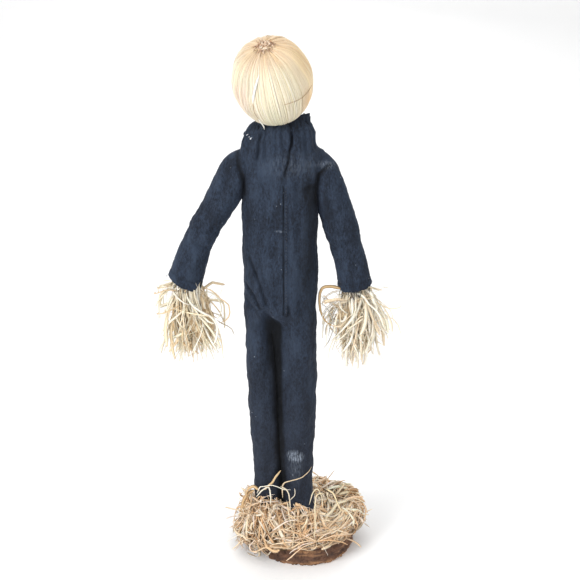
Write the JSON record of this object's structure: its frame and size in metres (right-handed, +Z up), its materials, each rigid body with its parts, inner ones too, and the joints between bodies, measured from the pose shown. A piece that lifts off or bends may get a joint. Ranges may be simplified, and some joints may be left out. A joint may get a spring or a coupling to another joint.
{
  "type": "scarecrow figure",
  "caption": "Standing cloth scarecrow with a ball head, raffia hands and bendable arms, on a straw-topped log slice.",
  "frame": {"origin": "floor point under the figure's centre line, on the underside of the log slice", "axes": "+Z up, +Y the way the figure's face looks, +X to the right when the figure is seen from behind"},
  "size_m": [0.2333, 0.1523, 0.5579],
  "materials": {
    "log_wood": "matte",
    "bark": "matte",
    "straw": "matte",
    "dowel_wood": "matte",
    "wire": "satin",
    "dark_thread": "matte",
    "fibre_fill": "matte",
    "dark_cotton": "matte",
    "raffia": "satin",
    "foam": "matte",
    "husk": "satin",
    "knot_husk": "matte",
    "white_strand": "satin",
    "brown_thread": "matte",
    "button_black": "gloss",
    "felt_orange": "matte",
    "face_thread": "matte"
  },
  "bodies": {
    "figure": {"base_block": "log_wood", "base_bark": "bark", "straw_nest": "straw", "left_leg_dowel": "dowel_wood", "right_leg_dowel": "dowel_wood", "hip_block": "dowel_wood", "spine_dowel": "dowel_wood", "shoulder_wire": "wire", "neck_plug": "dowel_wood", "neck_tie": "dark_thread", "torso_stuffing": "fibre_fill", "left_leg_stuffing": "fibre_fill", "right_leg_stuffing": "fibre_fill", "coverall_body": "dark_cotton", "left_trouser_leg": "dark_cotton", "right_trouser_leg": "dark_cotton", "collar": "dark_cotton", "back_seam": "dark_thread", "ankle_strand": "raffia"},
    "neck": {"neck_peg": "dowel_wood"},
    "head": {"head_ball": "foam", "head_husk": "husk", "crown_knot": "knot_husk", "loose_strand": "white_strand", "head_thread": "brown_thread", "eye_buttons": "button_black", "nose_patch": "felt_orange", "mouth_stitch": "face_thread"},
    "left_upper_arm": {"left_arm_wire": "wire", "left_upper_stuffing": "fibre_fill", "left_upper_sleeve": "dark_cotton"},
    "left_forearm": {"left_forearm_wire": "wire", "left_fore_stuffing": "fibre_fill", "left_lower_sleeve": "dark_cotton"},
    "left_hand": {"left_hand_wire": "wire", "left_wrist_tie": "dark_thread", "left_raffia_hand": "raffia"},
    "right_upper_arm": {"right_arm_wire": "wire", "right_upper_stuffing": "fibre_fill", "right_upper_sleeve": "dark_cotton"},
    "right_forearm": {"right_forearm_wire": "wire", "right_fore_stuffing": "fibre_fill", "right_lower_sleeve": "dark_cotton"},
    "right_hand": {"right_hand_wire": "wire", "right_wrist_tie": "dark_thread", "right_raffia_hand": "raffia"}
  },
  "joints": [
    {"name": "neck_nod", "type": "hinge", "parent": "figure", "child": "neck", "pos_m": [0, 0, 0.4815], "axis": [1, 0, 0], "range_deg": [-30, 5]},
    {"name": "head_turn", "type": "hinge", "parent": "neck", "child": "head", "pos_m": [0, 0, 0.4815], "axis": [-0.1892, -0.4147, 0.8901], "range_deg": [-60, 60]},
    {"name": "left_shoulder", "type": "hinge", "parent": "figure", "child": "left_upper_arm", "pos_m": [-0.045, 0, 0.428], "axis": [0, 1, 0], "range_deg": [-7, 68]},
    {"name": "left_elbow", "type": "hinge", "parent": "left_upper_arm", "child": "left_forearm", "pos_m": [-0.07315, 0, 0.37276], "axis": [0.891, 0, -0.454], "range_deg": [-3, 75]},
    {"name": "left_wrist", "type": "hinge", "parent": "left_forearm", "child": "left_hand", "pos_m": [-0.09333, 0, 0.31413], "axis": [0.9455, 0, -0.3256], "range_deg": [-25, 25]},
    {"name": "right_shoulder", "type": "hinge", "parent": "figure", "child": "right_upper_arm", "pos_m": [0.045, 0, 0.428], "axis": [0, -1, 0], "range_deg": [-2, 78]},
    {"name": "right_elbow", "type": "hinge", "parent": "right_upper_arm", "child": "right_forearm", "pos_m": [0.06313, 0, 0.36871], "axis": [0.9563, 0, 0.2924], "range_deg": [-3, 75]},
    {"name": "right_wrist", "type": "hinge", "parent": "right_forearm", "child": "right_hand", "pos_m": [0.07549, 0, 0.30795], "axis": [0.9799, 0, 0.1994], "range_deg": [-25, 25]}
  ]
}
